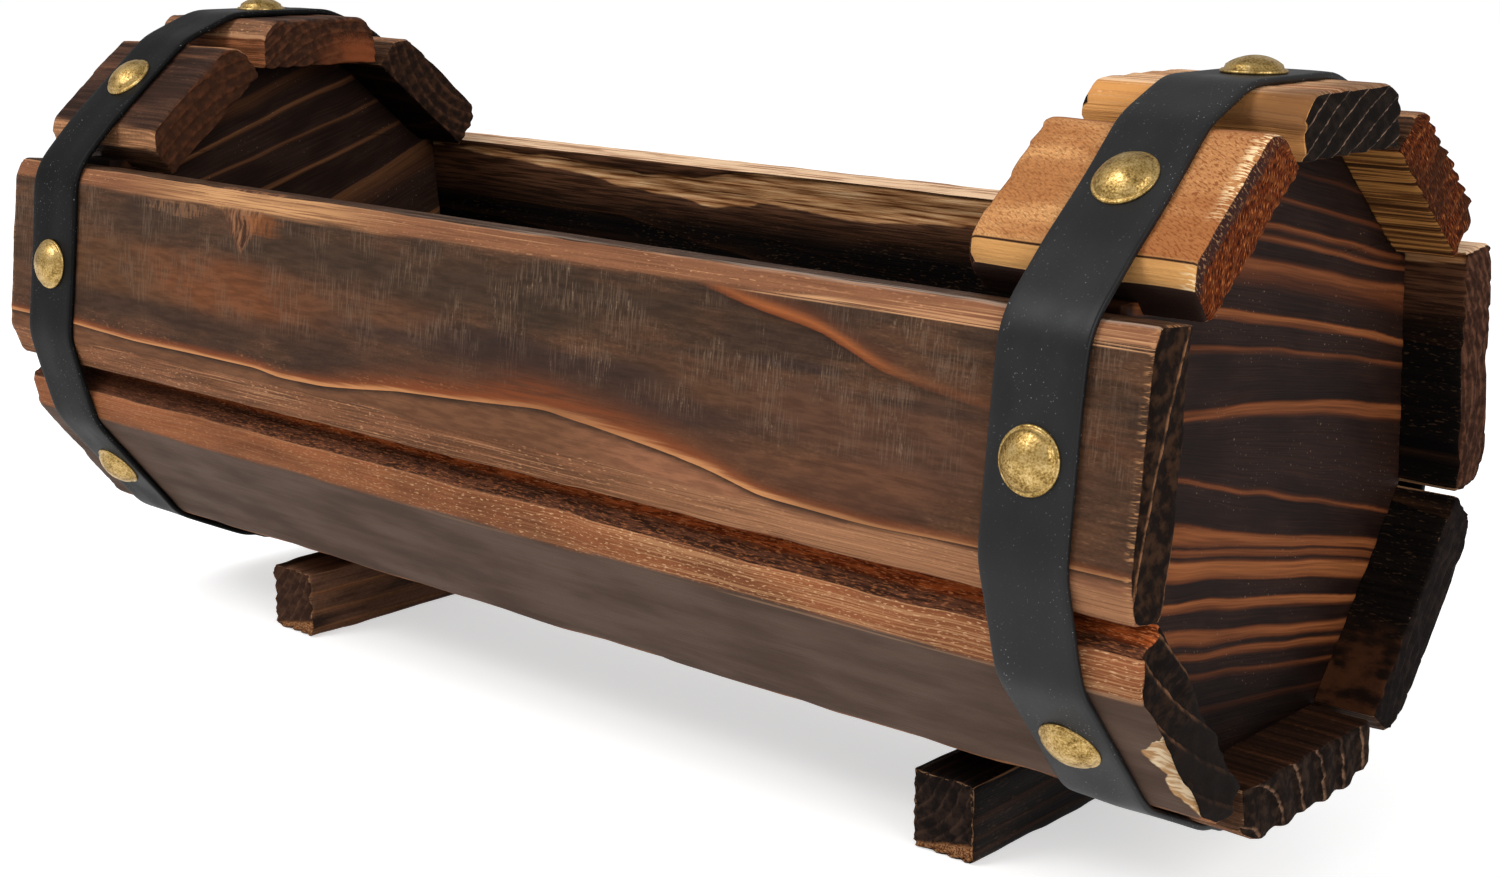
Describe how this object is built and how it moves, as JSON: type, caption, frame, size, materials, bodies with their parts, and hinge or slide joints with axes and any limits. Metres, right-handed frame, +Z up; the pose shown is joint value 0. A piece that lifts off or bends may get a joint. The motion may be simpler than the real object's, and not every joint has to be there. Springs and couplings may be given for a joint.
{
  "type": "wooden barrel planter",
  "caption": "Half-open barrel flower pot of charred wooden staves round eight-sided end boards, with studded rubber straps, on two square bar feet.",
  "frame": {"origin": "centre of the bounding box at the floor, under the middle of the barrel", "axes": "+X along the barrel, +Y from the front to the back, +Z up; the front stave faces -Y"},
  "size_m": [0.464, 0.1946, 0.2183],
  "materials": {
    "charred_stave_wood": "charred and brushed pine, dark brown with orange grain streaks, worn tan edges",
    "toasted_stave_wood": "lightly torched pine, golden tan to dark brown, rough end grain",
    "charred_board_wood": "charred pine board with wavy orange grain lines",
    "charred_foot_wood": "charred square bar",
    "black_rubber": "satin black rubber strap with fine dust",
    "antique_brass": "antique brass, pitted dome",
    "nail_steel": "plain wire nail"
  },
  "bodies": {
    "root": {"front_stave": "charred_stave_wood", "back_stave": "charred_stave_wood", "lower_back_stave": "charred_stave_wood", "bottom_stave": "charred_stave_wood", "lower_front_stave": "charred_stave_wood", "left_upper_front_stave": "toasted_stave_wood", "left_top_stave": "toasted_stave_wood", "left_upper_back_stave": "toasted_stave_wood", "right_upper_front_stave": "toasted_stave_wood", "right_top_stave": "toasted_stave_wood", "right_upper_back_stave": "toasted_stave_wood", "left_end_board": "charred_board_wood", "right_end_board": "charred_board_wood", "left_strap": "black_rubber", "right_strap": "black_rubber", "left_front_stud": "antique_brass", "left_upper_front_stud": "antique_brass", "left_top_stud": "antique_brass", "left_upper_back_stud": "antique_brass", "left_back_stud": "antique_brass", "left_lower_back_stud": "antique_brass", "left_bottom_stud": "antique_brass", "left_lower_front_stud": "antique_brass", "right_front_stud": "antique_brass", "right_upper_front_stud": "antique_brass", "right_top_stud": "antique_brass", "right_upper_back_stud": "antique_brass", "right_back_stud": "antique_brass", "right_lower_back_stud": "antique_brass", "right_bottom_stud": "antique_brass", "right_lower_front_stud": "antique_brass", "left_foot": "charred_foot_wood", "right_foot": "charred_foot_wood", "left_stave_nails": "nail_steel", "right_stave_nails": "nail_steel", "foot_nails": "nail_steel"}
  },
  "joints": []
}
